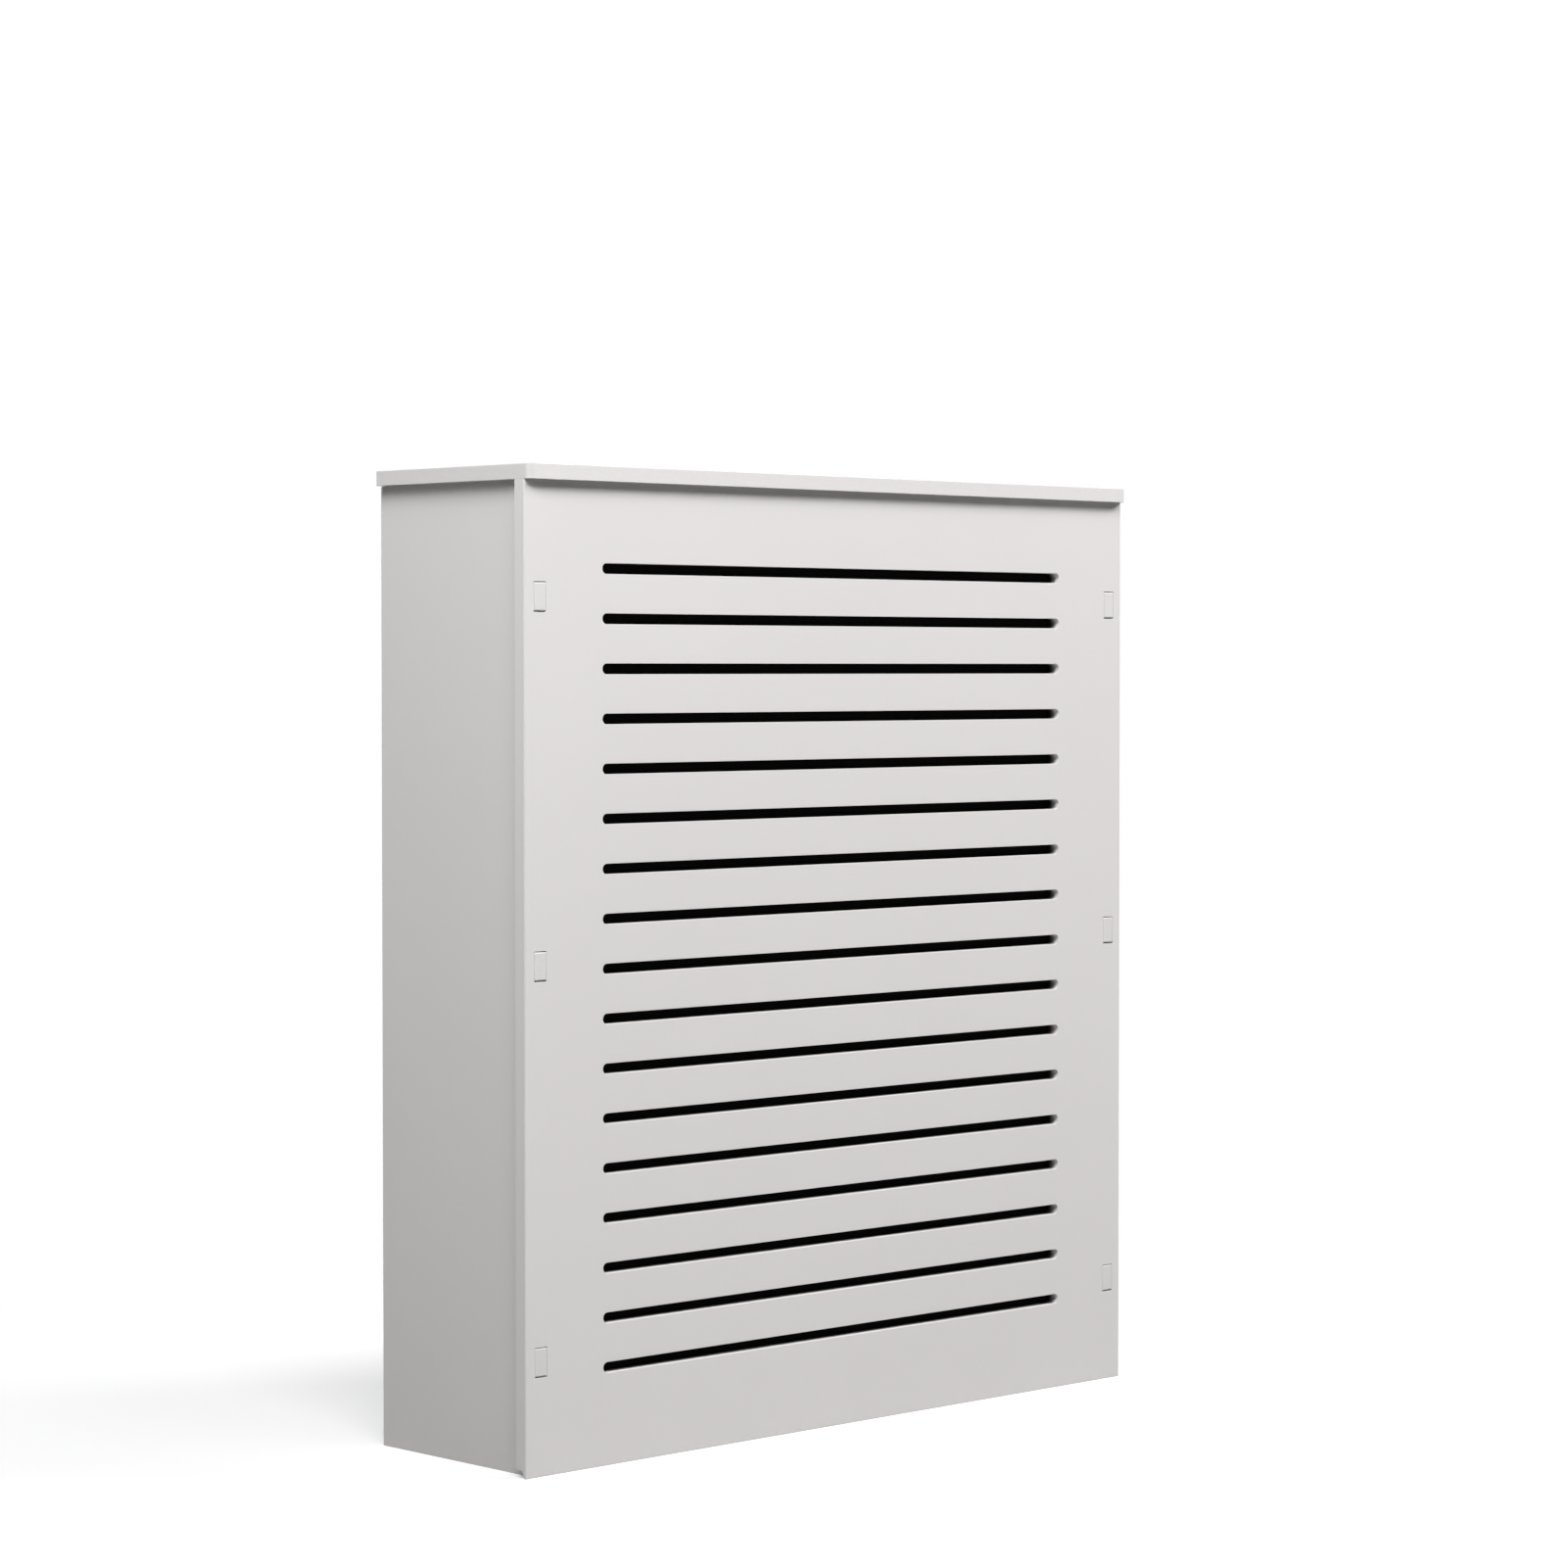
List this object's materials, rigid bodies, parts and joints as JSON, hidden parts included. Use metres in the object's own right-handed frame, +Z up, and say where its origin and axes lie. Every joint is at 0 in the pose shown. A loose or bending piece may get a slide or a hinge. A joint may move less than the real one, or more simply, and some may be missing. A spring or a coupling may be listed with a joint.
{
  "type": "radiator shelf",
  "caption": "White flat-pack radiator cover with a shelf top, a slotted front panel hung on side-panel tabs, an open back and an open bottom.",
  "frame": {"origin": "on the floor, midway across the width and midway between the shelf's front edge and the wall", "axes": "+Z up, +Y to the wall, -Y out of the slotted front, +X to the right seen from the front"},
  "size_m": [0.7, 0.2, 0.8],
  "materials": {
    "shelf_board": "smooth white foam board with a soft satin skin",
    "white_board": "smooth white foam board with a soft satin skin",
    "batten_board": "plain white strip",
    "bracket_steel": "zinc plated",
    "screw_steel": "zinc plated",
    "dust_cloth": "fine black cloth, matt"
  },
  "bodies": {
    "carcass": {"left_side_panel": "white_board", "right_side_panel": "white_board", "rear_rail": "white_board", "front_stretcher": "white_board", "rear_left_bracket": "bracket_steel", "rear_right_bracket": "bracket_steel", "front_left_bracket": "bracket_steel", "front_right_bracket": "bracket_steel", "rear_left_screws": "screw_steel", "rear_right_screws": "screw_steel", "front_left_screws": "screw_steel", "front_right_screws": "screw_steel"},
    "front": {"front_panel": "white_board", "slot_screen": "dust_cloth", "upper_batten": "batten_board", "lower_batten": "batten_board", "left_batten": "batten_board", "right_batten": "batten_board", "batten_screws": "screw_steel"},
    "shelf": {"top_board": "shelf_board"}
  },
  "joints": [
    {"name": "front_pull_off", "type": "slide", "parent": "carcass", "child": "front", "axis": [0, -1, 0], "range_m": [0, 0.06]},
    {"name": "shelf_lift_off", "type": "slide", "parent": "carcass", "child": "shelf", "axis": [0, 0, 1], "range_m": [0, 0.04]}
  ]
}
